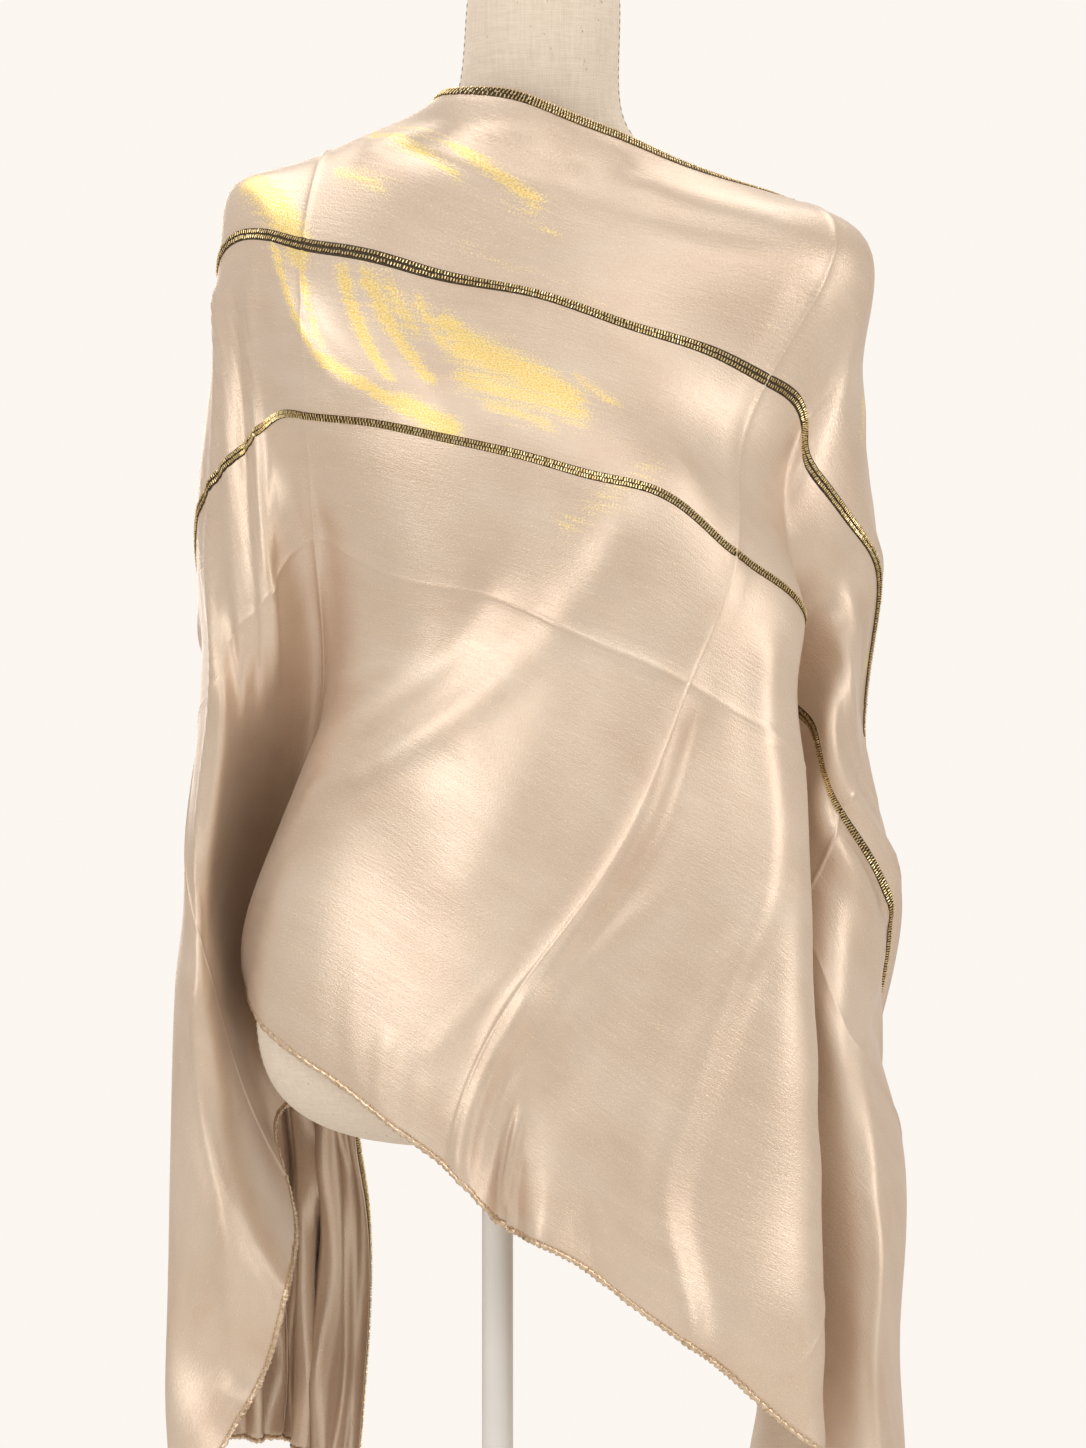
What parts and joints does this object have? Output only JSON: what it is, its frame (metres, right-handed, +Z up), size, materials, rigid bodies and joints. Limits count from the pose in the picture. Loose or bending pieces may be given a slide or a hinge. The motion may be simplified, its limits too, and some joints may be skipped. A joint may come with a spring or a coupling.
{
  "type": "evening stole on a dress form",
  "caption": "Oblong evening stole with beaded trims, draped over the chest and both shoulders of a limbless dress form on a pole with a round foot.",
  "frame": {"origin": "middle of the foot's underside", "axes": "+Z up along the pole, the front of the form faces -Y, +X is to the right of someone looking at the front"},
  "size_m": [0.4953, 0.341, 1.5778],
  "materials": {
    "linen": "natural linen cover, matt, with slubs",
    "stand": "white satin paint",
    "tissue": "champagne metallic tissue with a satin sheen and gold glints",
    "beads": "antique gold beads in rows"
  },
  "bodies": {
    "root": {"dress_form": "linen", "pole": "stand", "foot": "stand", "stole_front": "tissue", "stole_left_tail": "tissue", "stole_right_tail": "tissue", "trim_edge": "beads", "trim_upper": "beads", "trim_lower": "beads"}
  },
  "joints": []
}
